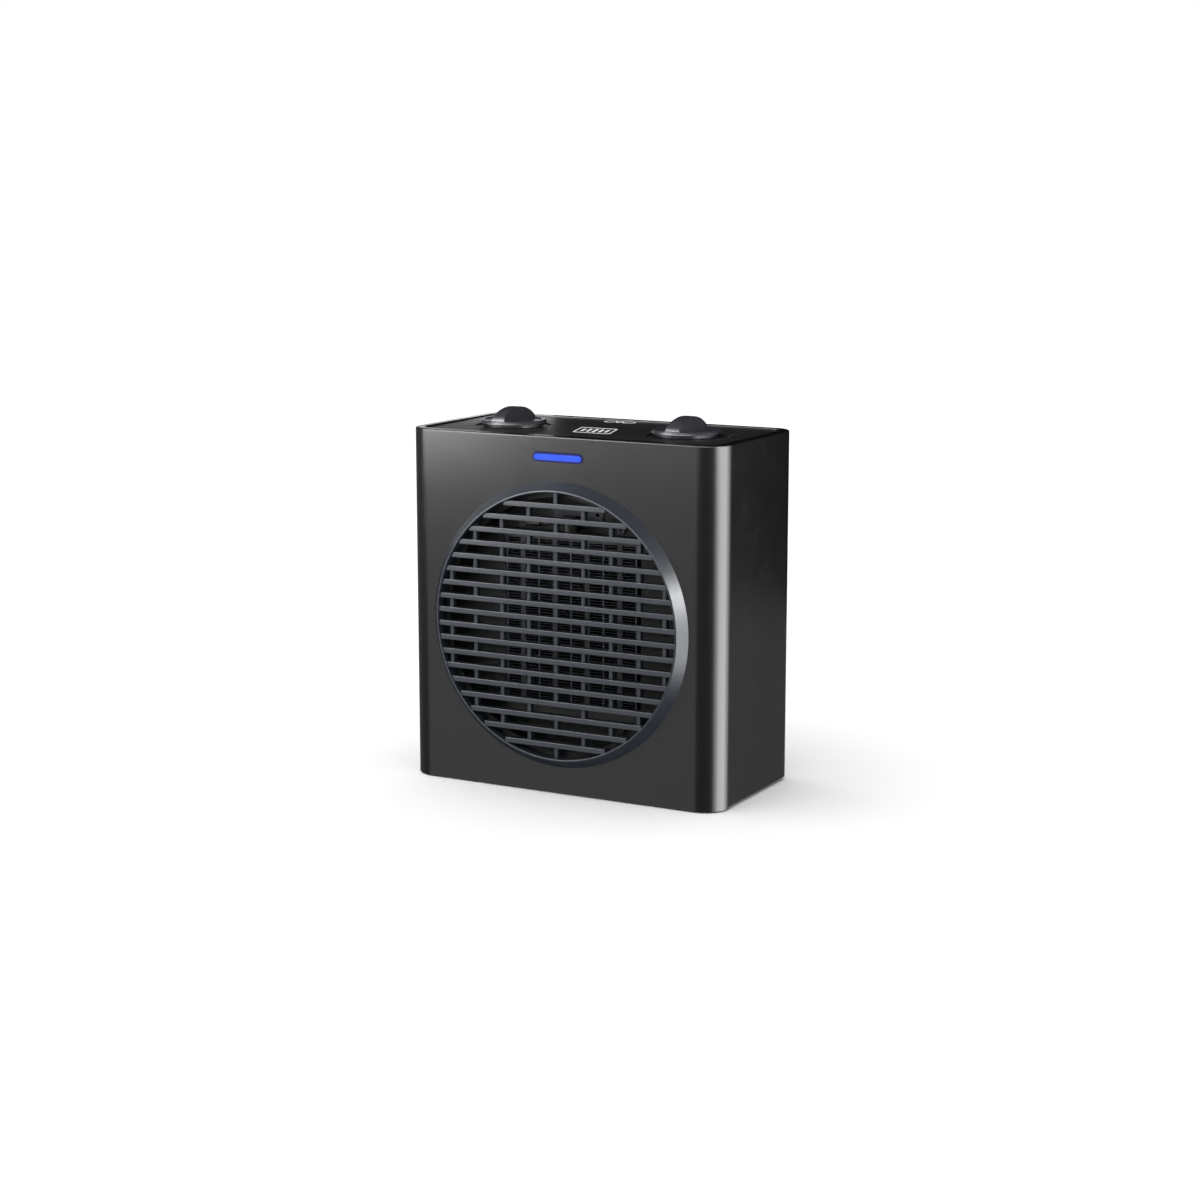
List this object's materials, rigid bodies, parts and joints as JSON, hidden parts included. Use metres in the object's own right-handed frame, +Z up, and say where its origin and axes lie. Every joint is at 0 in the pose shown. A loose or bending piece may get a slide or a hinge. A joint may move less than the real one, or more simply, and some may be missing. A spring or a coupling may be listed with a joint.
{
  "type": "ceramic space heater",
  "caption": "Free-standing ceramic fan heater: upright box with a round slatted outlet in front, a rear air intake, and function and thermostat dials on top.",
  "frame": {"origin": "centre of the overall box, on the floor under the feet", "axes": "+Z up, the outlet grille faces -Y, +X is to the right of a person facing the grille"},
  "size_m": [0.24, 0.127, 0.257],
  "materials": {
    "casing_black": "moulded ABS, satin gloss",
    "rear_plastic": "moulded ABS, fine matt texture",
    "panel_matte": "moulded ABS, fine matt texture",
    "grille_plastic": "moulded heat-resistant plastic, charcoal, matt",
    "lens_blue": "moulded translucent polycarbonate, blue",
    "dial_plastic": "moulded ABS, satin",
    "rubber_black": "moulded rubber",
    "plated_steel": "zinc-plated sheet and wire",
    "black_screw": "black oxide steel",
    "lamination_steel": "varnished electrical steel laminations",
    "copper_winding": "enamelled copper wire",
    "bronze": "plain brass and sintered bronze",
    "ptc_ceramic": "ceramic bars in insulating film",
    "white_ceramic": "fired steatite",
    "fin_aluminium": "folded aluminium foil",
    "heat_plastic": "phenolic moulding",
    "duct_plastic": "glass-filled polyamide moulding",
    "fan_plastic": "glass-filled polyamide moulding",
    "inner_plastic": "natural polyamide moulding"
  },
  "bodies": {
    "housing": {"air_duct": "duct_plastic", "base_plate": "rear_plastic", "base_screws": "black_screw", "bimetal_blade": "bronze", "blade_stack": "white_ceramic", "clamp_screws": "plated_steel", "coil_bobbin": "inner_plastic", "contact_blade": "bronze", "control_screws": "plated_steel", "cord_clamp": "inner_plastic", "cord_gland": "rubber_black", "cutout_bracket": "black_screw", "front_bearing": "bronze", "front_grille": "grille_plastic", "front_motor_bracket": "plated_steel", "function_switch_base": "heat_plastic", "function_switch_body": "inner_plastic", "function_switch_terminals": "bronze", "grille_screws": "plated_steel", "indicator_lamp": "inner_plastic", "indicator_lens": "lens_blue", "motor_bolts": "plated_steel", "motor_coil": "copper_winding", "motor_mount": "plated_steel", "motor_nuts": "plated_steel", "motor_spacers": "rubber_black", "motor_stator": "lamination_steel", "mount_screws": "black_screw", "outer_sleeve": "casing_black", "ptc_bars": "ptc_ceramic", "ptc_fins": "fin_aluminium", "ptc_frame_lower": "heat_plastic", "ptc_frame_upper": "heat_plastic", "ptc_screws": "black_screw", "ptc_separators": "fin_aluminium", "ptc_terminals": "bronze", "rear_bearing": "bronze", "rear_cover": "rear_plastic", "rear_cover_screws": "black_screw", "rear_motor_bracket": "plated_steel", "rubber_feet": "rubber_black", "terminal_block": "inner_plastic", "terminal_screws": "bronze", "thermal_cutout": "heat_plastic", "thermal_fuse": "heat_plastic", "thermostat_frame": "plated_steel", "tip_spring": "plated_steel", "tip_switch_body": "inner_plastic", "top_panel": "panel_matte"},
    "function_dial": {"function_knob": "dial_plastic", "function_spindle": "plated_steel", "function_switch_rotor": "inner_plastic"},
    "thermostat_dial": {"thermostat_knob": "dial_plastic", "thermostat_spindle": "plated_steel"},
    "fan": {"fan_impeller": "fan_plastic", "impeller_clip": "plated_steel", "motor_shaft": "plated_steel", "motor_rotor": "lamination_steel"},
    "plunger": {"tip_plunger": "inner_plastic"}
  },
  "joints": [
    {"name": "function_turn", "type": "hinge", "parent": "housing", "child": "function_dial", "pos_m": [-0.0673, 0, 0.245], "axis": [0, 0, -1], "range_deg": [0, 270]},
    {"name": "thermostat_turn", "type": "hinge", "parent": "housing", "child": "thermostat_dial", "pos_m": [0.0673, 0, 0.245], "axis": [0, 0, -1], "range_deg": [-140, 140]},
    {"name": "fan_spin", "type": "hinge", "parent": "housing", "child": "fan", "pos_m": [0, 0, 0.117], "axis": [0, -1, 0], "continuous": true},
    {"name": "plunger_slide", "type": "slide", "parent": "housing", "child": "plunger", "axis": [0, 0, -1], "range_m": [0, 0.004], "stiffness_N_per_m": 25, "springref_m": 0.012, "deforming": ["tip_spring"]}
  ]
}
